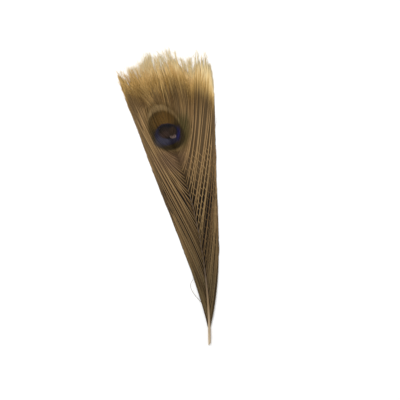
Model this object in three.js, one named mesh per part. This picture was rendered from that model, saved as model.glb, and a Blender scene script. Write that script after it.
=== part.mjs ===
// A trimmed peacock tail feather, dyed tan, lying face up on a table.
// One bowed horn shaft runs from a slanted cut to the middle of the eye, and a vane of loose barbs
// grows from each side of it. The barbs cling together in long tapering locks: they are fused beside
// the shaft, part further out, arch down to the table and lie flat on it at their tips.
// Units are millimetres, +Z is up, and +Y runs from the cut end to the tips.
import * as THREE from "three";

// Driving dimensions of the shaft
const SHAFT_LENGTH = 218; // cut end to the middle of the eye, straight across
const SHAFT_BOW = 10.6; // how far the shaft's middle stands to the right of that line
const SHAFT_BASE_RADIUS = 1.4;
const SHAFT_TIP_RADIUS = 0.4;
const SHAFT_RISE = 4.2; // how far the eye end is lifted off the table
const CUT_SLANT = 0.8; // rise of the cut face along the shaft for each millimetre across it
const SHAFT_RINGS = 22;
const SHAFT_SIDES = 12;

// Driving dimensions of the vanes
const LOCKS_PER_VANE = 30;
const FIRST_ROOT = 0.075; // share of the shaft below the lowest barb
const CORNER_ROOT = 0.6; // share of the shaft below the barbs that end at the vane's upper corner
const EYE_ROOT = 0.82; // share of the shaft below the barbs that curve most closely round the eye
const LOWEST_ANGLE = 13; // degrees between the lowest barbs and the shaft
const CORNER_ANGLE = 24; // degrees at the barbs of the upper corner
const EYE_ANGLE = 44; // degrees at the barbs round the eye, from where they close up towards the tip
const BARB_BEND = 0.4; // share of a barb's length that its first direction sets
const ROOT_GAP = 0.3; // clearance between a vane and the shaft
const CENTRE_GAP = 0.2; // half the clearance between the two vanes above the shaft
const ROOT_THICKNESS = 1.0;
const TIP_THICKNESS = 0.6;
const LOCK_CROWN = 0.5; // how far a lock's middle stands above its edges
const TOUCHDOWN = 0.72; // share of a barb's length after which it lies on the table
const PARTING = 0.55; // share of a barb's length up to which its lock is fused to the next
const TIP_WIDTH_SHARE = 0.15; // a lock's width at its tip, as a share of its full width
const SHORTEST_REACH = 0.95; // reach of the shortest lock, as a share of the vane's outline
const FUSED_STEPS = 3;
const FREE_STEPS = 4;

// Outline of the barb tips: up the outer edge of each vane to its corner, then along the tufted top
// towards the middle, where the two vanes meet
const outline = (...points) => new THREE.SplineCurve(points.map(([x, y]) => new THREE.Vector2(x, y)));
const LEFT = {
  side: -1,
  edge: outline([-9, 96], [-17, 144], [-24.5, 190], [-31, 230], [-37.5, 262], [-38, 288]),
  top: outline([-38, 288], [-30, 282], [-22, 283], [-14, 290], [-6, 296], [2, 293], [10, 298]),
};
const RIGHT = {
  side: 1,
  edge: outline([28, 96], [35, 140], [41, 180], [47, 215], [53, 250], [55, 276]),
  top: outline([55, 276], [52, 290], [46, 293], [38, 287], [30, 284], [20, 296], [10, 298]),
};

const shaftHorn = new THREE.MeshStandardMaterial({ color: 0xd9c3a2, roughness: 0.45, metalness: 0 });
const dyedBarbs = new THREE.MeshStandardMaterial({ color: 0x9a7c4e, roughness: 0.75, metalness: 0 });

// The shaft's centre line, radius and heading at a share of its length from the cut end

function shaftRadius(share) {
  return THREE.MathUtils.lerp(SHAFT_BASE_RADIUS, SHAFT_TIP_RADIUS, share);
}

function shaftCentre(share) {
  const sideways = SHAFT_BOW * 4 * share * (1 - share);
  const height = shaftRadius(share) + SHAFT_RISE * THREE.MathUtils.smoothstep(share, 0, 1);
  return new THREE.Vector3(sideways, SHAFT_LENGTH * share, height);
}

function shaftHeading(share) {
  return Math.atan2(SHAFT_BOW * 4 * (1 - 2 * share), SHAFT_LENGTH);
}

// A turned, tapering rod, bent to the shaft's bow and rise, with a slanted cut at its base.
function makeShaft() {
  const profile = [new THREE.Vector2(0, 0)];
  for (let ring = 0; ring <= SHAFT_RINGS; ring++) {
    const share = ring / SHAFT_RINGS;
    profile.push(new THREE.Vector2(shaftRadius(share), share * SHAFT_LENGTH));
  }
  profile.push(new THREE.Vector2(0, SHAFT_LENGTH));

  const rod = new THREE.LatheGeometry(profile, SHAFT_SIDES);
  const places = rod.getAttribute("position");
  for (let i = 0; i < places.count; i++) {
    const share = places.getY(i) / SHAFT_LENGTH;
    const centre = shaftCentre(share);
    const slant = share === 0 ? CUT_SLANT * places.getX(i) : 0;
    places.setXYZ(i, centre.x + places.getX(i), centre.y + slant, centre.z + places.getZ(i));
  }
  return rod;
}

// How far along the shaft a barb has its root. Order runs from 0 at the lowest barb to 1 at the one
// that carries on from the shaft's tip.
function rootShare(order) {
  return THREE.MathUtils.lerp(FIRST_ROOT, 1, order);
}

// Where the tip of a barb lies on the vane's outline.
function tipPlace(vane, share) {
  if (share < CORNER_ROOT) {
    return vane.edge.getPoint(THREE.MathUtils.inverseLerp(FIRST_ROOT, CORNER_ROOT, share));
  }
  const tip = vane.top.getPoint(THREE.MathUtils.inverseLerp(CORNER_ROOT, 1, share));
  tip.x += vane.side * CENTRE_GAP;
  return tip;
}

// The angle at which a barb leaves the shaft, in degrees.
function barbAngle(share) {
  if (share < CORNER_ROOT) {
    return THREE.MathUtils.mapLinear(share, FIRST_ROOT, CORNER_ROOT, LOWEST_ANGLE, CORNER_ANGLE);
  }
  if (share < EYE_ROOT) {
    return THREE.MathUtils.mapLinear(share, CORNER_ROOT, EYE_ROOT, CORNER_ANGLE, EYE_ANGLE);
  }
  return THREE.MathUtils.mapLinear(share, EYE_ROOT, 1, EYE_ANGLE, 0);
}

// A barb seen from above.
function barbCurve(vane, order) {
  const share = rootShare(order);
  const centre = shaftCentre(share);
  const root = new THREE.Vector2(centre.x + vane.side * (shaftRadius(share) + ROOT_GAP), centre.y);
  const tip = tipPlace(vane, share);
  const heading = shaftHeading(share) + vane.side * THREE.MathUtils.degToRad(barbAngle(share));
  const reach = BARB_BEND * root.distanceTo(tip);
  const bend = new THREE.Vector2(root.x + reach * Math.sin(heading), root.y + reach * Math.cos(heading));
  return new THREE.QuadraticBezierCurve(root, bend, tip);
}

// Height of a vane's underside: level with the shaft at the root, on the table after the touchdown.
function undersideHeight(order, along) {
  const rootHeight = shaftCentre(rootShare(order)).z - ROOT_THICKNESS / 2;
  return rootHeight * (1 - THREE.MathUtils.smoothstep(along, 0, TOUCHDOWN));
}

// The shortest locks alternate with long ones, so that the vane's edge is ragged.
function lockReach(lock) {
  const wave = 0.5 + 0.5 * Math.sin(2.4 * lock);
  return THREE.MathUtils.lerp(SHORTEST_REACH, 1, wave);
}

// One vane as a closed sheet: a row of crowned locks, fused up to the parting and pointed beyond it.
function makeVane(vane) {
  const places = [];
  const triangles = [];

  const place = (flat, z) => places.push(flat.x, flat.y, z) / 3 - 1;
  const face = (...corners) => {
    const ring = vane.side > 0 ? corners : corners.reverse();
    for (let i = 2; i < ring.length; i++) {
      triangles.push(ring[0], ring[i - 1], ring[i]);
    }
  };
  // A pair of points on the sheet's edge, one on its upper face and one on its underside
  const edgePair = (flat, order, along) => {
    const low = undersideHeight(order, along);
    const thickness = THREE.MathUtils.lerp(ROOT_THICKNESS, TIP_THICKNESS, along);
    return { upper: place(flat, low + thickness), under: place(flat, low) };
  };
  const crownPoint = (flat, order, along) => {
    const thickness = THREE.MathUtils.lerp(ROOT_THICKNESS, TIP_THICKNESS, along);
    return place(flat, undersideHeight(order, along) + thickness + LOCK_CROWN);
  };

  // The lines between neighbouring locks, as far as the parting
  const seams = [];
  for (let line = 0; line <= LOCKS_PER_VANE; line++) {
    const order = line / LOCKS_PER_VANE;
    const barb = barbCurve(vane, order);
    const seam = [];
    for (let step = 0; step <= FUSED_STEPS; step++) {
      const along = (PARTING * step) / FUSED_STEPS;
      seam.push(edgePair(barb.getPoint(along), order, along));
    }
    seams.push(seam);
  }

  for (let lock = 0; lock < LOCKS_PER_VANE; lock++) {
    const orders = [lock, lock + 0.5, lock + 1].map((line) => line / LOCKS_PER_VANE);
    const [lowerBarb, middleBarb, upperBarb] = orders.map((order) => barbCurve(vane, order));
    const lower = [...seams[lock]];
    const upper = [...seams[lock + 1]];
    const crown = [];
    for (let step = 0; step <= FUSED_STEPS; step++) {
      const along = (PARTING * step) / FUSED_STEPS;
      crown.push(crownPoint(middleBarb.getPoint(along), orders[1], along));
    }
    for (let step = 1; step <= FREE_STEPS; step++) {
      const free = step / FREE_STEPS;
      const along = THREE.MathUtils.lerp(PARTING, lockReach(lock), free);
      const middle = middleBarb.getPoint(along);
      const narrowing = (1 - TIP_WIDTH_SHARE) * free ** 3;
      lower.push(edgePair(lowerBarb.getPoint(along).lerp(middle, narrowing), orders[1], along));
      upper.push(edgePair(upperBarb.getPoint(along).lerp(middle, narrowing), orders[1], along));
      crown.push(crownPoint(middle, orders[1], along));
    }

    const last = FUSED_STEPS + FREE_STEPS;
    for (let step = 0; step < last; step++) {
      const next = step + 1;
      face(lower[step].upper, lower[next].upper, crown[next], crown[step]);
      face(crown[step], crown[next], upper[next].upper, upper[step].upper);
      face(lower[step].under, upper[step].under, upper[next].under, lower[next].under);
      if (step >= FUSED_STEPS || lock === 0) {
        face(lower[step].under, lower[next].under, lower[next].upper, lower[step].upper);
      }
      if (step >= FUSED_STEPS || lock === LOCKS_PER_VANE - 1) {
        face(upper[step].under, upper[step].upper, upper[next].upper, upper[next].under);
      }
    }
    face(lower[0].under, lower[0].upper, crown[0], upper[0].upper, upper[0].under);
    face(lower[last].under, upper[last].under, upper[last].upper, crown[last], lower[last].upper);
  }

  const sheet = new THREE.BufferGeometry();
  sheet.setAttribute("position", new THREE.Float32BufferAttribute(places, 3));
  sheet.setIndex(triangles);
  sheet.computeVertexNormals();
  return sheet;
}

function named(name, geometry, material) {
  const mesh = new THREE.Mesh(geometry, material);
  mesh.name = name;
  return mesh;
}

const feather = new THREE.Group();
feather.add(named("shaft", makeShaft(), shaftHorn));
feather.add(named("left_vane", makeVane(LEFT), dyedBarbs));
feather.add(named("right_vane", makeVane(RIGHT), dyedBarbs));

// The part's origin is on the table, under the middle of the feather's bounding box.
const box = new THREE.Box3().setFromObject(feather);
const middle = box.getCenter(new THREE.Vector3());
feather.children.forEach((mesh) => mesh.position.set(-middle.x, -middle.y, -box.min.z));

export default feather;
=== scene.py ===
"""A trimmed peacock tail feather, dyed tan, lying face up on a white table."""
import math

import bpy
import numpy as np
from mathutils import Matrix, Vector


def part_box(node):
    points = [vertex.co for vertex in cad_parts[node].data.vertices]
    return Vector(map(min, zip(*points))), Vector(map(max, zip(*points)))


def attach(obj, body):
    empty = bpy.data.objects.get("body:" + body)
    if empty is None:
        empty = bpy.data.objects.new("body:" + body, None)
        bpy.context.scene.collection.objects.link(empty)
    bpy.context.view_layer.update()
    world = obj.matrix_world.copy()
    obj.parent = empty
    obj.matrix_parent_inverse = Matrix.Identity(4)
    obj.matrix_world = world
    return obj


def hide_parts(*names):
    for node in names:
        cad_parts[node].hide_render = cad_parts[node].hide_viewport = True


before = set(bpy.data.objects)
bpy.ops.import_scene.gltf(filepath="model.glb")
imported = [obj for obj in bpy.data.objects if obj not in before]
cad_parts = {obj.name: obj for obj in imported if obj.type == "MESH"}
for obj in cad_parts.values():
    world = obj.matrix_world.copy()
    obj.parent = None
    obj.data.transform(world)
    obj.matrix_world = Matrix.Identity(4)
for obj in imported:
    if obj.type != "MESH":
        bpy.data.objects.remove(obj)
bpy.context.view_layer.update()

MM = 0.001

# Shaft, in millimetres from its cut end, as the part's solids have it
SHAFT_LENGTH = 218.0
SHAFT_BOW = 10.6
SHAFT_BASE_RADIUS = 1.4
SHAFT_TIP_RADIUS = 0.4
SHAFT_RISE = 4.2
CUT_SLANT = 0.8
SHAFT_SIDES = 16
SHAFT_STEPS = 40
SHAFT_GROOVE = 0.35
PITH_WALL = 0.4
PITH_DEPTH = 0.5
# How far the end of the shaft lies below the roots of the barbs that cover it
SHAFT_DIP = 0.6

# Outline of the barbs' tips: up the edge on each side, left -1 and right 1, and along the top from the left
EDGE = {
    -1: ((-7.5, 96), (-16, 144), (-24.5, 190), (-31, 230), (-37, 262), (-40, 286)),
    1: ((28, 96), (35, 140), (41, 180), (47, 215), (53, 250), (55, 276)),
}
TOP = (
    (-40, 286), (-32, 286), (-23, 287), (-14, 291), (-6, 296), (2, 293), (10, 298),
    (20, 296), (30, 284), (38, 287), (46, 293), (52, 290), (55, 276),
)

# Shares of the shaft where barbs begin, where their tips turn the corner, and where those of the eye begin
FIRST_ROOT = 0.075
CORNER_ROOT = 0.6
EYE_ROOT = 0.85
# Shares of the top where the tips are of barbs at the corner, at the first of the eye and at the shaft's end
TOP_SHARES = {-1: (0.0, 0.14, 0.36), 1: (1.0, 0.67, 0.36)}

# Degrees by which barbs lean out from the shaft at the root, and from its straight line at the tip
ROOT_LEAN = {
    -1: ((0.075, 12), (0.4, 14), (0.6, 19), (0.8, 38), (0.88, 52), (0.94, 46), (1, -16)),
    1: ((0.075, 12), (0.4, 15), (0.6, 21), (0.8, 36), (0.88, 52), (0.94, 46), (1, 16)),
}
TIP_LEAN = {
    -1: ((0.075, 12), (0.6, 14), (0.84, 16), (0.9, 14), (1, -4)),
    1: ((0.075, 12), (0.6, 10), (0.78, 12), (0.86, 0), (0.92, -10), (1, 4)),
}

# Shares of a barb's length: how far it holds its first and last direction, and where it comes down
BARB_BEND = 0.36
TOUCHDOWN = 0.72
# Millimetres by which roots sink into the shaft, by which the back lies above the table, and the face above that
ROOT_SINK = 0.3
BACK_LIFT = 0.15
FACE_LIFT = 0.95
# A barb's height as a share of its half width
BARB_HEIGHT = 0.8

# Tips gather in locks, and barbs of one strand share most of their shade
LOCKS_PER_VANE = 30
STRANDS_PER_VANE = 90
STRAND_TONE = 0.7
# How barbs differ: share of the shaft that the tip belongs to, share of the length, degrees at the root,
# pull towards the lock, and millimetres of slow wander, of frizz at the tip and of wear
ROOT_STRAY = 0.01
LENGTH_STRAY = 0.03
LEAN_STRAY = 3.0
PULL_STRAY = 0.15
WANDER = 0.45
FRIZZ = 0.8
WORN_SPREAD = 4.0

# Shares of the shaft above which barbs carry the fringe's fine hairs, and above which they fill the eye
FRINGE_ROOT = 0.52
EYE_LAYER_ROOT = 0.8
# Millimetres from the cut end up to which ties join the barbs of the right vane, just below the eye
NET_TOP = 192.0
# Distance to the tip, in millimetres, for threads that are nowhere near the fringe
FAR_FROM_TIP = 100.0

# The eye, in millimetres from the cut end, and how far its axes and the camera's lean to the right
EYE_CENTRE = np.array([-0.3, 213.5])
LEAN = math.radians(11.0)

# Barbs from the end of the shaft are combed over to the left: where their tips lie, from the lowest up
COMBED_TIPS = ((-37, 264), (-38, 276), (-31, 284), (-20, 287), (-9, 294), (4, 294))
COMBED_LEAN = ((0, 64), (0.2, 48), (0.5, 20), (1, -8))

# A stray barb that has come loose near the foot of the left vane
STRAY_BARB = ((1.1, 41), (-4.5, 50), (-7.5, 58), (-6.8, 63), (-3.2, 67), (1.2, 67.4), (6.0, 66.5))

# The cut end of the shaft in the part's frame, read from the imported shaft
shaft_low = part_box("shaft")[0]
CUT_END = np.array([
    shaft_low.x / MM + SHAFT_BASE_RADIUS,
    shaft_low.y / MM + CUT_SLANT * SHAFT_BASE_RADIUS,
])

rng = np.random.default_rng(58)


# Lines that the pieces follow


def smooth_step(value, low, high):
    t = np.clip((value - low) / (high - low), 0, 1)
    return t * t * (3 - 2 * t)


def shaft_radius(share):
    return SHAFT_BASE_RADIUS + (SHAFT_TIP_RADIUS - SHAFT_BASE_RADIUS) * share


def shaft_centre(share):
    """Places on the shaft's middle line, as x, y and height in millimetres."""
    share = np.asarray(share, float)
    across = SHAFT_BOW * 4 * share * (1 - share)
    height = shaft_radius(share) + SHAFT_RISE * smooth_step(share, 0, 1)
    return np.stack([across, SHAFT_LENGTH * share, height], -1)


def along_curve(points, shares):
    """Places on a smooth curve through the points, at shares of its way."""
    points = np.array(points, float)
    last = len(points) - 1
    place = np.clip(shares, 0, 1) * last
    start = np.minimum(place.astype(int), last - 1)
    w = (place - start)[:, None]
    here, there = points[start], points[start + 1]
    leaving = (there - points[np.maximum(start - 1, 0)]) / 2
    arriving = (points[np.minimum(start + 2, last)] - here) / 2
    cubic = 2 * here - 2 * there + leaving + arriving
    square = 3 * there - 3 * here - 2 * leaving - arriving
    return cubic * w**3 + square * w**2 + leaving * w + here


def tip_places(side, shares):
    """Where barbs with roots at these shares of the shaft have their tips."""
    up_edge = along_curve(EDGE[side], (shares - FIRST_ROOT) / (CORNER_ROOT - FIRST_ROOT))
    along_top = along_curve(TOP, np.interp(shares, (CORNER_ROOT, EYE_ROOT, 1), TOP_SHARES[side]))
    return np.where((shares < CORNER_ROOT)[:, None], up_edge, along_top)


def direction(side, degrees):
    """Level directions that lean out by these angles from straight up the feather."""
    angle = side * np.radians(degrees)
    return np.stack([np.sin(angle), np.cos(angle)], -1)


def bent_lines(root, leaving, arriving, tips, reach, steps):
    """Level curves that leave their roots and arrive at their tips in the given directions. Reach is the share
    of each curve that is kept."""
    hold = BARB_BEND * np.linalg.norm(tips - root, axis=1)[:, None]
    bend, turn_in = root + hold * leaving, tips - hold * arriving
    t = (np.linspace(0, 1, steps)[None] * reach[:, None])[..., None]
    return (
        (1 - t) ** 3 * root[:, None]
        + 3 * t * (1 - t) ** 2 * bend[:, None]
        + 3 * t**2 * (1 - t) * turn_in[:, None]
        + t**3 * tips[:, None]
    )


def barb_lines(side, shares, tips, turns, reach, steps):
    """Level curves from one side of the shaft towards the barbs' tips, with turns added to the lean at the root."""
    beside = shaft_radius(shares) * (1 - smooth_step(shares, 0.2, 0.4))
    root = shaft_centre(shares)[:, :2] + side * np.stack([beside, 0 * beside], -1)
    bow = side * np.degrees(np.arctan2(SHAFT_BOW * 4 * (1 - 2 * shares), SHAFT_LENGTH))
    leaving = direction(side, np.interp(shares, *zip(*ROOT_LEAN[side])) + bow + turns)
    arriving = direction(side, np.interp(shares, *zip(*TIP_LEAN[side])))
    return bent_lines(root, leaving, arriving, tips, reach, steps)


def level_across(lines):
    """The level direction across each line at each of its points."""
    ahead = np.gradient(lines[..., :2], axis=1)
    across = np.stack([ahead[..., 1], -ahead[..., 0]], -1)
    return across / np.maximum(np.linalg.norm(across, axis=-1, keepdims=True), 1e-9)


# Barbs: each is a thin closed ridge with a flat underside that tapers to its tip

# Shares of a barb's length and of its half width there, for slender barbs and for those that fill the back
POINTED = ((0, 0.12, 0.68, 0.88, 1), (0.6, 1.0, 0.95, 0.55, 0.08))
FULL = ((0, 0.12, 0.8, 0.92, 1), (0.6, 1.0, 1.0, 0.7, 0.08))


def barb_layer(side, shares, depth, half_width, loose, cling, length, taper=POINTED, steps=22):
    """Barbs that grow from one side of the shaft. Depth is 0 for those on the face and 1 for those at the
    back. Loose says how far they stray, cling how far their tips gather in locks, and length how much of the
    way to the outline they reach."""
    count = len(shares)
    strayed = np.clip(shares + rng.normal(0, ROOT_STRAY * loose, count), FIRST_ROOT, 1)
    span = 1 - FIRST_ROOT
    lock = (np.floor((shares - FIRST_ROOT) / span * LOCKS_PER_VANE) + 0.5) / LOCKS_PER_VANE
    pull = np.clip(cling + rng.normal(0, PULL_STRAY, count), 0, 0.9)[:, None]
    gathered = tip_places(side, np.clip(FIRST_ROOT + lock * span, FIRST_ROOT, 1))
    strand = np.floor((shares - FIRST_ROOT) / span * STRANDS_PER_VANE).astype(int)
    strand_tones = rng.uniform(0, 1, STRANDS_PER_VANE + 1)[strand]
    tone = STRAND_TONE * strand_tones + (1 - STRAND_TONE) * rng.uniform(0, 1, count)
    tips = tip_places(side, strayed) * (1 - pull) + gathered * pull
    reach = length * (1 - np.abs(rng.normal(0, LENGTH_STRAY, count)))
    turns = rng.normal(0, LEAN_STRAY * loose, count)
    lines = barb_lines(side, shares, tips, turns, reach, steps)
    return finished_layer(lines, shares, depth, half_width, loose, reach, taper, tone)


def combed_layer(count, half_width):
    """Barbs from the end of the shaft that are combed over to the left, above those of the eye."""
    order = (np.arange(count) + rng.uniform(0, 1, count)) / count
    shares = 0.95 + 0.05 * order
    root = shaft_centre(shares)[:, :2]
    leaving = direction(-1, np.interp(order, (0, 0.5, 1), (22, 4, -14)) + rng.normal(0, 3, count))
    arriving = direction(-1, np.interp(order, *zip(*COMBED_LEAN)) + rng.normal(0, 5, count))
    tips = along_curve(COMBED_TIPS, order) + rng.normal(0, 1.0, (count, 2))
    reach = 1 - np.abs(rng.normal(0, 0.05, count))
    lines = bent_lines(root, leaving, arriving, tips, reach, 22)
    depth, tone = rng.uniform(0.0, 0.3, count), rng.uniform(0, 1, count)
    return finished_layer(lines, shares, depth, half_width, 0.8, reach, POINTED, tone)


def finished_layer(lines, shares, depth, half_width, loose, reach, taper, tone):
    """A layer of barbs along level lines: they wander a little, rise from the vane's sheet and taper."""
    count, steps = lines.shape[:2]
    t = np.linspace(0, 1, steps)[None]
    waves = rng.uniform(0.8, 2.6, (count, 1))
    start = rng.uniform(0, 2 * math.pi, (count, 1))
    wander = rng.normal(0, WANDER * loose, (count, 1)) * np.sin(math.pi * t * waves + start) * t
    curls = rng.uniform(3, 6, (count, 1))
    frizz = rng.normal(0, FRIZZ, (count, 1)) * (1 - 0.8 * depth[:, None])
    wander += frizz * np.sin(math.pi * t * curls + start) * smooth_step(t, 0.6, 1)
    lines = lines + level_across(lines) * wander[..., None]
    on_shaft = shaft_radius(shares) * smooth_step(shares, 0.2, 0.4) * (1 - smooth_step(depth, 0.5, 0.7))
    root_height = shaft_centre(shares)[:, 2] - ROOT_SINK + on_shaft
    arch = 0.35 + 0.65 * np.sin(math.pi * np.minimum(t * 1.1, 1))
    lift = BACK_LIFT + FACE_LIFT * (1 - depth)[:, None] * arch
    height = root_height[:, None] * (1 - smooth_step(t * reach[:, None], 0, TOUCHDOWN)) + lift
    half = half_width * np.interp(t, *taper) * rng.uniform(0.85, 1.15, (count, 1))
    kept = np.linalg.norm(np.diff(lines, axis=1), axis=-1).sum(1)
    to_tip = (kept / reach + rng.normal(0, WORN_SPREAD, count))[:, None] - kept[:, None] * t
    return {
        "lines": np.concatenate([lines, height[..., None]], -1),
        "half": half,
        "high": half * BARB_HEIGHT,
        "along": np.broadcast_to(t * reach[:, None], half.shape),
        "to_tip": to_tip,
        "tone": tone,
        "depth": depth,
        "row": np.arange(count),
    }


def side_hairs(barbs, chosen, per_barb, begin, end, length, spread, half_width, rise, steps=5):
    """Barbules or fine hairs that branch off the chosen barbs, between two shares of their length."""
    given = barbs["lines"].shape[1]
    parent = np.repeat(np.flatnonzero(chosen), per_barb)
    total = len(parent)
    at = rng.uniform(begin, end, total) * (given - 1)
    low = np.minimum(at.astype(int), given - 2)
    w = (at - low)[:, None]
    lower, upper = barbs["lines"][parent, low], barbs["lines"][parent, low + 1]
    start = lower * (1 - w) + upper * w
    ahead = upper - lower
    hand = rng.choice((-1, 1), total)
    heading = np.arctan2(ahead[:, 0], ahead[:, 1]) + hand * np.radians(rng.uniform(*spread, total))
    curl = hand * np.radians(rng.normal(-6, 24, total))
    t = np.linspace(0, 1, steps)
    way = heading[:, None] + curl[:, None] * t
    hair_length = rng.uniform(*length, total)[:, None]
    step = hair_length / (steps - 1)
    x = np.cumsum(np.sin(way) * step, 1) - np.sin(way[:, :1]) * step
    y = np.cumsum(np.cos(way) * step, 1) - np.cos(way[:, :1]) * step
    climb = rng.uniform(*rise, total)[:, None] * t**1.5
    height = start[:, 2:] + barbs["high"][parent, low][:, None] * 0.4 + climb
    half = half_width * np.interp(t, (0, 0.5, 1), (1.0, 0.8, 0.15))[None] * rng.uniform(0.7, 1.3, (total, 1))
    along = barbs["along"][parent, low][:, None]
    return {
        "lines": np.stack([start[:, :1] + x, start[:, 1:2] + y, height], -1),
        "half": half,
        "high": half * 1.2,
        "along": along + 0.5 * t * (1 - along),
        "to_tip": barbs["to_tip"][parent, low][:, None] - hair_length * t,
        "tone": np.clip(barbs["tone"][parent] + rng.normal(0, 0.35, total), 0, 1),
        "depth": barbs["depth"][parent] * 0.6,
        "row": parent,
    }


def net_barbules(barbs, spacing, rise, widest, half_width):
    """Barbules that tie each barb to the next one towards the shaft, a little higher up."""
    given = np.linspace(0, 1, barbs["lines"].shape[1])
    t = np.linspace(0, 1, 3)
    lines, along, rows = [], [], []
    for row, (outer, inner) in enumerate(zip(barbs["lines"], barbs["lines"][1:])):
        lowest = max(outer[0, 1], inner[0, 1]) + rng.uniform(0.2, 1.0) * spacing
        for y in np.arange(lowest, NET_TOP, spacing):
            low_y = y + rng.uniform(-0.2, 0.2) * spacing
            high_y = low_y + rng.uniform(*rise)
            start = [np.interp(low_y, outer[:, 1], outer[:, axis]) for axis in range(3)]
            end = [np.interp(high_y, inner[:, 1], inner[:, axis]) for axis in range(3)]
            if abs(start[0] - end[0]) < widest:
                lines.append(np.array(start) * (1 - t[:, None]) + np.array(end) * t[:, None])
                along.append(np.interp(low_y, outer[:, 1], given) + 0 * t)
                rows.append(row)
    half = half_width * rng.uniform(0.7, 1.3, (len(rows), 1)) + 0 * t
    return {
        "lines": np.array(lines),
        "half": half,
        "high": half * 1.5,
        "along": np.array(along),
        "to_tip": np.full_like(half, FAR_FROM_TIP),
        "tone": barbs["tone"][rows],
        "depth": barbs["depth"][rows],
        "row": np.array(rows),
    }


def joined_barbs(name, families):
    """One mesh of all the barbs. A family is a layer of barbs and the hairs that branch off it, which share
    its barbs' rows in the UV map."""
    places, faces = [], []
    values = {"along": [], "to_tip": [], "tone": [], "depth": [], "across": [], "row": []}
    first_corner, first_row = 0, 0
    for family in families:
        for layer in family:
            lines, half, high = layer["lines"], layer["half"], layer["high"]
            count, steps = half.shape
            across = np.concatenate([level_across(lines), np.zeros((count, steps, 1))], -1) * half[..., None]
            crown = high[..., None] * np.array([0, 0, 1])
            places.append(np.stack([lines - across, lines + across, lines + crown], 2).reshape(-1, 3))
            corner = first_corner + np.arange(count * steps * 3).reshape(count, steps, 3)
            here, there = corner[:, :-1], corner[:, 1:]
            for a, b in ((0, 2), (2, 1), (1, 0)):
                wall = np.stack([here[..., a], there[..., a], there[..., b], here[..., b]], -1)
                faces.append(wall.reshape(-1, 4))
            faces.append(corner[:, 0][:, [0, 2, 1, 1]])
            faces.append(corner[:, -1][:, [0, 1, 2, 2]])
            shape = (count, steps, 3)
            for key in ("along", "to_tip"):
                values[key].append(np.broadcast_to(layer[key][..., None], shape).ravel())
            values["across"].append(np.broadcast_to(np.array([0.0, 1.0, 0.5]), shape).ravel())
            values["row"].append(np.broadcast_to(first_row + layer["row"][:, None, None], shape).ravel())
            for key in ("tone", "depth"):
                values[key].append(np.broadcast_to(layer[key][:, None, None], shape).ravel())
            first_corner += count * steps * 3
        first_row += len(family[0]["row"])
    return mesh_from_arrays(
        name,
        np.concatenate(places),
        np.concatenate(faces),
        {key: np.concatenate(value) for key, value in values.items()},
    )


def mesh_from_arrays(name, places, faces, values):
    """A piece from places in millimetres from the cut end. A face whose last two corners agree is a
    triangle."""
    placed = places + np.array([*CUT_END, 0])
    is_triangle = faces[:, 2] == faces[:, 3]
    used = np.ones(faces.shape, bool)
    used[is_triangle, 3] = False
    corners = faces[used].astype(np.int32)
    sizes = np.where(is_triangle, 3, 4)
    mesh = bpy.data.meshes.new(name)
    mesh.vertices.add(len(placed))
    mesh.vertices.foreach_set("co", (placed * MM).astype(np.float32).ravel())
    mesh.loops.add(len(corners))
    mesh.loops.foreach_set("vertex_index", corners)
    mesh.polygons.add(len(faces))
    mesh.polygons.foreach_set("loop_start", (np.cumsum(sizes) - sizes).astype(np.int32))
    mesh.polygons.foreach_set("use_smooth", np.ones(len(faces), bool))
    for key in ("along", "to_tip", "tone", "depth", "across"):
        layer = mesh.attributes.new(key, "FLOAT", "POINT")
        layer.data.foreach_set("value", values[key].astype(np.float32))
    # The UV map has two columns of rows, one row for each barb
    rows = math.ceil((values["row"].max() + 1) / 2)
    u = (values["row"] // rows + 0.02 + 0.96 * values["along"]) / 2
    v = (values["row"] % rows + 0.1 + 0.8 * values["across"]) / rows
    uv = mesh.uv_layers.new(name="OFBake")
    uv.data.foreach_set("uv", np.stack([u, v], -1)[corners].astype(np.float32).ravel())
    mesh.update(calc_edges=True)
    mesh.validate()
    piece = bpy.data.objects.new(name, mesh)
    bpy.context.scene.collection.objects.link(piece)
    return piece


def evenly(count, low, high, crowd=1.0):
    """Shares from low to high, each a little off its even place. With crowd below 1 they lie closer together
    towards the high end."""
    even = (np.arange(count) + 0.5 + rng.uniform(-0.25, 0.25, count)) / count
    return low + (high - low) * even**crowd


def stray_barb():
    """The loose barb's line as a layer of one."""
    steps = 24
    t = np.linspace(0, 1, steps)
    line = along_curve(STRAY_BARB, t)
    height = 2.6 + 0.8 * np.sin(math.pi * t)
    half = 0.2 * np.interp(t, (0, 0.3, 1), (1, 1, 0.4))[None]
    return {
        "lines": np.concatenate([line, height[:, None]], -1)[None],
        "half": half,
        "high": half,
        "along": 0.5 * t[None],
        "to_tip": np.full_like(half, FAR_FROM_TIP),
        "tone": np.array([1.0]),
        "depth": np.array([0.0]),
        "row": np.array([0]),
    }


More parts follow.
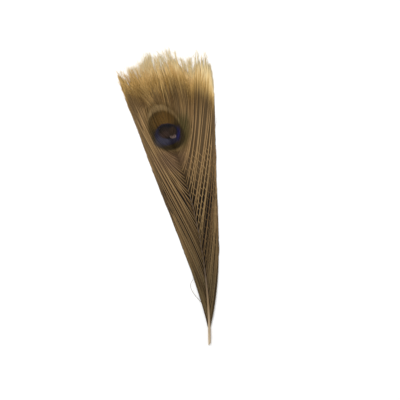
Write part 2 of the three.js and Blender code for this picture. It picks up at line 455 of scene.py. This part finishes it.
def make_vane(name, side, face_count, middle_count):
    """One vane from its layers of barbs. Half widths, lengths of hairs and how far hairs rise are in
    millimetres, and spreads of hairs in degrees."""
    # The back fills the vane from edge to edge
    roots = evenly(200, FIRST_ROOT, 0.92)
    depth = rng.uniform(0.85, 1.0, 200)
    length = np.interp(roots, (0.6, 0.75), (0.99, 0.92))
    half_width = np.interp(roots, (FIRST_ROOT, 0.25), (0.3, 1.0))[:, None]
    back = barb_layer(side, roots, depth, half_width, 0.3, 0.0, length, FULL, 13)

    # Barbs between the back and the face
    roots = evenly(middle_count, FIRST_ROOT, 0.84)
    depth = rng.uniform(0.35, 0.55, middle_count)
    middle = barb_layer(side, roots, depth, half_width=0.3, loose=1.0, cling=0.3, length=0.97)
    middle_hairs = side_hairs(
        middle, roots > FRINGE_ROOT, per_barb=24, begin=0.76, end=0.99,
        length=(2, 9), spread=(4, 24), half_width=0.07, rise=(0.0, 0.5),
    )

    # Barbs on the face, closer together towards the eye
    roots = evenly(face_count, FIRST_ROOT, EYE_ROOT, 0.8)
    depth = rng.uniform(0.0, 0.2, face_count)
    face = barb_layer(side, roots, depth, half_width=0.48, loose=0.7, cling=0.15, length=1.0)
    face_hairs = side_hairs(
        face, roots > FRINGE_ROOT, per_barb=34, begin=0.74, end=0.99,
        length=(2, 9), spread=(4, 26), half_width=0.07, rise=(0.0, 0.8),
    )

    # Barbs of the eye: a full layer behind, slender ones before it and a few that lead on top
    roots = evenly(100, EYE_LAYER_ROOT, 1.0)
    depth = rng.uniform(0.6, 0.85, 100)
    eye_back = barb_layer(side, roots, depth, 0.75, 0.9, 0.0, 0.9, FULL, 13)
    roots = evenly(44, EYE_LAYER_ROOT, 1.0)
    depth = rng.uniform(0.3, 0.65, 44)
    eye = barb_layer(side, roots, depth, half_width=0.33, loose=0.7, cling=0.35, length=1.0, steps=16)
    eye_hairs = side_hairs(
        eye, roots > EYE_LAYER_ROOT, per_barb=26, begin=0.6, end=0.98,
        length=(3, 10), spread=(4, 30), half_width=0.06, rise=(0.0, 1.0),
    )
    roots = evenly(16, EYE_LAYER_ROOT, 1.0)
    depth = rng.uniform(0.0, 0.1, 16)
    lead = barb_layer(side, roots, depth, half_width=0.4, loose=0.9, cling=0.0, length=1.0)
    lead_hairs = side_hairs(
        lead, roots > EYE_LAYER_ROOT, per_barb=40, begin=0.6, end=0.98,
        length=(3, 11), spread=(4, 34), half_width=0.07, rise=(0.0, 1.4),
    )

    # Short barbs that fill the foot of the vane
    roots = evenly(14, FIRST_ROOT, 0.3)
    depth = rng.uniform(0.0, 0.3, 14)
    foot = barb_layer(side, roots, depth, half_width=0.38, loose=0.7, cling=0.1, length=1.0)

    face_family = [face, face_hairs]
    families = [
        [back],
        [foot],
        [middle, middle_hairs],
        face_family,
        [eye_back],
        [eye, eye_hairs],
        [lead, lead_hairs],
    ]
    if side > 0:
        face_family.append(net_barbules(face, spacing=6.5, rise=(3.0, 5.0), widest=4.5, half_width=0.28))
    else:
        combed = combed_layer(44, 0.3)
        combed_hairs = side_hairs(
            combed, combed["tone"] >= 0, per_barb=14, begin=0.6, end=0.98,
            length=(3, 9), spread=(4, 26), half_width=0.06, rise=(0.0, 1.4),
        )
        families.append([combed, combed_hairs])
        families.append([stray_barb()])
    return joined_barbs(name, families)


# The shaft: a horn rod with a groove along its underside and soft pith in its slanted cut end


def make_shaft():
    bpy.ops.object.select_all(action="DESELECT")
    shares = np.linspace(0, 1, SHAFT_STEPS + 1)
    places = shaft_centre(shares) + np.array([*CUT_END, 0])
    places[:, 2] -= SHAFT_DIP * smooth_step(shares, 0.6, 0.8)
    radii = shaft_radius(shares)
    bpy.ops.mesh.primitive_circle_add(
        vertices=SHAFT_SIDES,
        radius=SHAFT_BASE_RADIUS * MM,
        fill_type="NGON",
        location=places[0] * MM,
        rotation=(math.pi / 2, 0, 0),
    )
    shaft = bpy.context.object
    shaft.name = shaft.data.name = "horn_shaft"
    bpy.ops.object.transform_apply(location=True, rotation=True, scale=True)
    lowest = min(shaft.data.vertices, key=lambda vertex: vertex.co.z)
    lowest.co.z += SHAFT_GROOVE * MM

    # The rod grows from the cut end step by step
    bpy.ops.object.mode_set(mode="EDIT")
    bpy.ops.mesh.select_all(action="SELECT")
    for step in range(1, SHAFT_STEPS + 1):
        bpy.ops.mesh.extrude_region_move(
            TRANSFORM_OT_translate={"value": (places[step] - places[step - 1]) * MM}
        )
        shrink = radii[step] / radii[step - 1]
        bpy.ops.transform.resize(value=(shrink, 1, shrink), center_override=places[step] * MM)
    bpy.ops.mesh.select_all(action="SELECT")
    bpy.ops.mesh.normals_make_consistent(inside=False)
    bpy.ops.mesh.select_all(action="DESELECT")
    bpy.ops.object.mode_set(mode="OBJECT")

    # The cut end slants, and its pith lies a little below the rim
    for vertex in shaft.data.vertices:
        if vertex.co.y < places[0, 1] * MM + 0.1 * MM:
            vertex.co.y += CUT_SLANT * (vertex.co.x - places[0, 0] * MM)
    cut_face = min(shaft.data.polygons, key=lambda face: face.center.y + face.normal.y)
    cut_face.select = True
    bpy.ops.object.mode_set(mode="EDIT")
    bpy.ops.mesh.select_mode(type="FACE")
    bpy.ops.mesh.inset(thickness=PITH_WALL * MM, depth=-PITH_DEPTH * MM)
    bpy.ops.object.mode_set(mode="OBJECT")
    pith = shaft.data.attributes.new("pith", "FLOAT", "POINT")
    for vertex in shaft.data.vertices:
        pith.data[vertex.index].value = float(vertex.select)
    bpy.ops.object.shade_smooth_by_angle(angle=math.radians(40))
    return shaft


# Materials


def linear(hex_colour):
    """An sRGB hex value as a linear colour with alpha."""
    channels = [int(hex_colour[i : i + 2], 16) / 255 for i in (0, 2, 4)]
    return (*[c / 12.92 if c <= 0.04045 else ((c + 0.055) / 1.055) ** 2.4 for c in channels], 1.0)


def add_node(material, kind, *inputs, out=0, **settings):
    """Adds a node with its settings, fills its inputs in order with values or links, and gives an output."""
    tree = material.node_tree
    node = tree.nodes.new("ShaderNode" + kind)
    for name, value in settings.items():
        setattr(node, name, value)
    sockets = [socket for socket in node.inputs if not socket.is_unavailable]
    for socket, value in zip(sockets, inputs):
        if isinstance(value, bpy.types.NodeSocket):
            tree.links.new(value, socket)
        else:
            socket.default_value = value
    outputs = {socket.name: socket for socket in node.outputs if not socket.is_unavailable}
    return outputs[out] if isinstance(out, str) else list(outputs.values())[out]


def new_material(name):
    """A material with a bare Principled shader, and that shader."""
    material = bpy.data.materials.new(name)
    material.use_nodes = True
    return material, material.node_tree.nodes["Principled BSDF"]


# Marks of the eye from the outside in: middle and half sizes in millimetres along axes that lean with the
# camera, a turn in degrees, how soft the rim is, how strongly it covers, and its colour
EYE_MARKS = (
    ((3.0, -25.0), (14.0, 11.0), 0, 0.6, 0.6, "5e4637"),
    ((-2.5, 7.0), (18.0, 29.0), 30, 0.12, 0.55, "48350f"),
    ((-2.0, 6.5), (15.5, 25.2), 30, 0.05, 0.9, "846c46"),
    ((15.0, 5.0), (7.5, 16.0), 0, 0.5, 0.75, "3e3a17"),
    ((-2.5, 4.0), (15.5, 21.5), 35, 0.08, 0.95, "38290b"),
    ((0.0, -2.0), (16.5, 14.3), 0, 0.12, 0.9, "2b210b"),
    ((-5.5, 14.0), (11.5, 9.0), 25, 0.45, 0.9, "5c4117"),
    ((-0.9, 0.0), (12.4, 10.9), 0, 0.07, 1.0, "1e1b2e"),
    ((-3.5, -5.0), (9.0, 5.5), 25, 0.6, 0.7, "41404f"),
    ((10.0, 0.5), (2.0, 6.5), 0, 0.6, 0.8, "17154a"),
    ((-0.5, 3.0), (9.4, 7.6), 0, 0.1, 0.97, "0b0911"),
    ((-3.2, 1.6), (6.0, 5.4), 0, 0.35, 1.0, "231915"),
    ((-3.6, -0.4), (3.8, 3.0), 0, 0.7, 0.55, "4e3a33"),
    ((4.7, -1.7), (2.7, 2.3), 0, 0.2, 0.9, "84706a"),
    ((3.9, 3.0), (3.6, 4.6), 0, 0.35, 1.0, "34261c"),
)


def dyed_barb_material():
    """Peacock barbs, bleached and dyed tan: matt keratin threads with a soft sheen. The tips are pale, partly from
    wear and partly a painted glow of light through the thin tips. Painted shade darkens barbs that lie behind
    others, and the eye's dark pigment shows through the dye."""
    m, shader = new_material("dyed peacock barbs")
    along = add_node(m, "Attribute", attribute_name="along", out="Fac")
    to_tip = add_node(m, "Attribute", attribute_name="to_tip", out="Fac")
    tone = add_node(m, "Attribute", attribute_name="tone", out="Fac")
    depth = add_node(m, "Attribute", attribute_name="depth", out="Fac")
    across = add_node(m, "Attribute", attribute_name="across", out="Fac")
    place = add_node(m, "TexCoord", out="Object")

    # Millimetres from the middle of the eye
    eye = (*((EYE_CENTRE + CUT_END) * MM), 0)
    from_eye = add_node(m, "Mapping", place, eye, (0, 0, -LEAN), (MM, MM, MM), vector_type="TEXTURE")
    above = add_node(m, "SeparateXYZ", from_eye, out="Y")
    beside = add_node(m, "SeparateXYZ", from_eye, out="X")
    # Blotches about 3 mm across
    blotch = add_node(m, "TexNoise", from_eye, 0.33, 3.0)

    # Tan dye: brown low down, lighter beside the eye and golden in the fringe. The pale tips, partly wear and
    # partly a
    #     # painted glow of light through the thin barbs, reach further in on the right than on the left
    low_to_high = add_node(m, "MapRange", above, -150, -30)
    golden = add_node(m, "MapRange", above, 8, 44, interpolation_type="SMOOTHSTEP")
    high_up = add_node(m, "MapRange", above, 14, 46, interpolation_type="SMOOTHSTEP")
    paler_tips_on_right = add_node(m, "MapRange", beside, 12, 32, 0.0, 10.0)
    deeper_tips_on_left = add_node(m, "MapRange", beside, -18, -38, 0.0, 9.0)
    to_tip = add_node(m, "Math", to_tip, paler_tips_on_right, operation="SUBTRACT")
    to_tip = add_node(m, "Math", to_tip, deeper_tips_on_left, operation="ADD")
    to_top = add_node(m, "Math", 82.0, above, operation="SUBTRACT")
    to_tip = add_node(m, "Mix", 0.35, to_tip, to_top)
    fringe = add_node(m, "MapRange", to_tip, 46, 13, interpolation_type="SMOOTHSTEP")
    fringe = add_node(m, "Math", fringe, high_up, operation="MULTIPLY")
    # Pale tips: partly wear, partly a painted glow of light shining through the thin tips
    worn_and_glow = add_node(m, "MapRange", to_tip, 27, 7, interpolation_type="SMOOTHSTEP")
    worn_and_glow = add_node(m, "Math", worn_and_glow, high_up, operation="MULTIPLY")
    dye = add_node(m, "Mix", low_to_high, linear("342919"), linear("aa865a"), data_type="RGBA")
    dye = add_node(m, "Mix", golden, dye, linear("7e5b2a"), data_type="RGBA")
    dye = add_node(m, "Mix", fringe, dye, linear("eeb858"), data_type="RGBA")
    dye = add_node(m, "Mix", worn_and_glow, dye, linear("fff2c8"), data_type="RGBA")
    # Each barb is a little darker or paler than the next
    darkest = add_node(m, "MapRange", fringe, 0.0, 1.0, 0.6, 0.2)
    dark = add_node(m, "Mix", darkest, dye, linear("4a3012"), data_type="RGBA")
    palest = add_node(m, "MapRange", fringe, 0.0, 1.0, 0.15, 0.7)
    pale = add_node(m, "Mix", palest, dye, linear("ffdf9c"), data_type="RGBA")
    dye = add_node(m, "Mix", tone, dark, pale, data_type="RGBA")
    # Barbs at the back are in shade, less so in the fringe, in the upper part, at the foot and at the edge
    behind = add_node(m, "MapRange", depth, 0.25, 0.8, 0.0, 1.0, interpolation_type="SMOOTHSTEP")
    lit_fringe = add_node(m, "MapRange", fringe, 0.0, 1.0, 1.0, 0.35)
    open_upper = add_node(m, "MapRange", above, -62, -36, 1.0, 0.78)
    open_foot = add_node(m, "MapRange", above, -200, -130, 0.88, 1.0)
    shade = add_node(m, "Math", behind, lit_fringe, operation="MULTIPLY")
    shade = add_node(m, "Math", shade, open_upper, operation="MULTIPLY")
    shade = add_node(m, "Math", shade, open_foot, operation="MULTIPLY")
    bare_ends = add_node(m, "MapRange", along, 0.68, 0.92, 1.0, 0.65)
    shade = add_node(m, "Math", shade, bare_ends, operation="MULTIPLY")
    # Painted shade: barbs that lie behind others are mixed towards a near-black brown
    colour = add_node(m, "Mix", shade, dye, linear("160e05"), data_type="RGBA")

    # Each barb carries the eye's marks a little higher or lower than its neighbours
    stray = add_node(m, "MapRange", tone, 0.0, 1.0, -0.6, 0.6)
    ragged = add_node(m, "Math", blotch, 1.4, -0.7, operation="MULTIPLY_ADD")
    ragged = add_node(m, "Math", ragged, stray, operation="ADD")
    for (x, y), (half_width, half_height), turn, soft, cover, mark_colour in EYE_MARKS:
        turned = (0, 0, math.radians(turn))
        scale = (half_width, half_height, 1000)
        oval = add_node(m, "Mapping", from_eye, (x, y, 0), turned, scale, vector_type="TEXTURE")
        rim = add_node(m, "VectorMath", oval, operation="LENGTH", out="Value")
        rim = add_node(m, "Math", ragged, 1 / half_width, rim, operation="MULTIPLY_ADD")
        share = add_node(m, "MapRange", rim, 1 + soft, 1 - soft, 0.0, cover, interpolation_type="SMOOTHSTEP")
        colour = add_node(m, "Mix", share, colour, linear(mark_colour), data_type="RGBA")

    # Painted shade: the flanks of a barb are darkened away from its crown, as a round thread is shaded
    flank_shade = add_node(m, "Math", across, 0.5, operation="SUBTRACT")
    flank_shade = add_node(m, "Math", flank_shade, operation="ABSOLUTE")
    deepest_flank_shade = add_node(m, "MapRange", fringe, 0.0, 1.0, 0.65, 0.25)
    flank_shade = add_node(m, "MapRange", flank_shade, 0.15, 0.5, 0.0, deepest_flank_shade)
    # Painted shade on the flanks, mixed towards dark brown
    colour = add_node(m, "Mix", flank_shade, colour, linear("20150a"), data_type="RGBA")
    m.node_tree.links.new(colour, shader.inputs["Base Color"])
    shader.inputs["Roughness"].default_value = 0.6
    shader.inputs["Specular IOR Level"].default_value = 0.12
    shader.inputs["Sheen Weight"].default_value = 0.03
    shader.inputs["Sheen Roughness"].default_value = 0.5
    shader.inputs["Sheen Tint"].default_value = linear("e8d0a0")
    return m


def horn_material():
    """Feather horn (keratin): a smooth satin skin, cream at the cut end and stained tan by the dye higher up,
    with faint streaks along it."""
    m, shader = new_material("feather horn")
    place = add_node(m, "TexCoord", out="Object")
    height = add_node(m, "SeparateXYZ", place, out="Y")
    rise = add_node(m, "MapRange", height, CUT_END[1] * MM, (CUT_END[1] + SHAFT_LENGTH) * MM)
    stained = add_node(m, "MapRange", rise, 0.02, 0.18)
    colour = add_node(m, "Mix", stained, linear("b5a184"), linear("836a46"), data_type="RGBA")
    deep = add_node(m, "MapRange", rise, 0.16, 0.32)
    colour = add_node(m, "Mix", deep, colour, linear("3c2b17"), data_type="RGBA")
    # Streaks about 0.4 mm across and 12 mm long
    drawn_out = add_node(m, "Mapping", place, (0, 0, 0), (0, 0, 0), (2500, 85, 2500))
    streak = add_node(m, "TexNoise", drawn_out, 1.0, 3.0)
    shade = add_node(m, "MapRange", streak, 0.35, 0.7, 0.0, 0.3)
    colour = add_node(m, "Mix", shade, colour, linear("7a5f3c"), data_type="RGBA")
    # Pith in the cut end, foamy and off-white
    pith = add_node(m, "Attribute", attribute_name="pith", out="Fac")
    foam = add_node(m, "TexNoise", place, 4000.0, 2.0)
    foam = add_node(m, "Mix", foam, linear("c9bda4"), linear("f2ead8"), data_type="RGBA")
    colour = add_node(m, "Mix", pith, colour, foam, data_type="RGBA")
    m.node_tree.links.new(colour, shader.inputs["Base Color"])
    shader.inputs["Roughness"].default_value = 0.38
    shader.inputs["IOR"].default_value = 1.54
    return m


# The pieces

barb_dye = dyed_barb_material()
horn = horn_material()

for vane_name, vane_side, face_count, middle_count in (("left", -1, 28, 12), ("right", 1, 24, 12)):
    vane = make_vane(vane_name + "_barbs", vane_side, face_count, middle_count)
    vane.data.materials.append(barb_dye)
    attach(vane, "root")
    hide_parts(vane_name + "_vane")

shaft = make_shaft()
shaft.data.materials.append(horn)
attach(shaft, "root")
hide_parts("shaft")

# Table, light and camera

bpy.ops.object.select_all(action="DESELECT")
TABLE_SIZE = 3.0
TABLE_DROP = 0.0003
bpy.ops.mesh.primitive_plane_add(size=TABLE_SIZE, location=(0, 0, -TABLE_DROP))
table = bpy.context.object
table.name = "table"
paper, paper_shader = new_material("white paper")
paper_shader.inputs["Base Color"].default_value = (0.95, 0.95, 0.95, 1)
paper_shader.inputs["Roughness"].default_value = 0.9
table.data.materials.append(paper)

world = bpy.data.worlds.new("white studio")
bpy.context.scene.world = world
world.use_nodes = True
world.node_tree.nodes["Background"].inputs["Color"].default_value = (1, 1, 1, 1)
world.node_tree.nodes["Background"].inputs["Strength"].default_value = 0.75

lamp_data = bpy.data.lights.new("soft box", "AREA")
lamp_data.size = 0.9
lamp_data.energy = 10.0
lamp = bpy.data.objects.new("soft box", lamp_data)
lamp.location = (-0.45, 0.4, 1.2)
lamp.rotation_euler = (math.radians(-20), math.radians(-20), 0)
bpy.context.scene.collection.objects.link(lamp)

# The photo looks straight down: its middle lies over this place, and 400 mm fill its 400 pixels
VIEW_MIDDLE = np.array([18.15, 143.2])
VIEW_WIDTH = 0.4
CAMERA_HEIGHT = 1.5
SENSOR_WIDTH = 36.0
camera_data = bpy.data.cameras.new("camera")
camera_data.sensor_width = SENSOR_WIDTH
camera_data.lens = SENSOR_WIDTH * CAMERA_HEIGHT / VIEW_WIDTH
camera = bpy.data.objects.new("camera", camera_data)
camera.location = (*((VIEW_MIDDLE + CUT_END) * MM), CAMERA_HEIGHT)
camera.rotation_euler = (0, 0, -LEAN)
bpy.context.scene.collection.objects.link(camera)
bpy.context.scene.camera = camera
bpy.context.scene.view_settings.view_transform = "Standard"
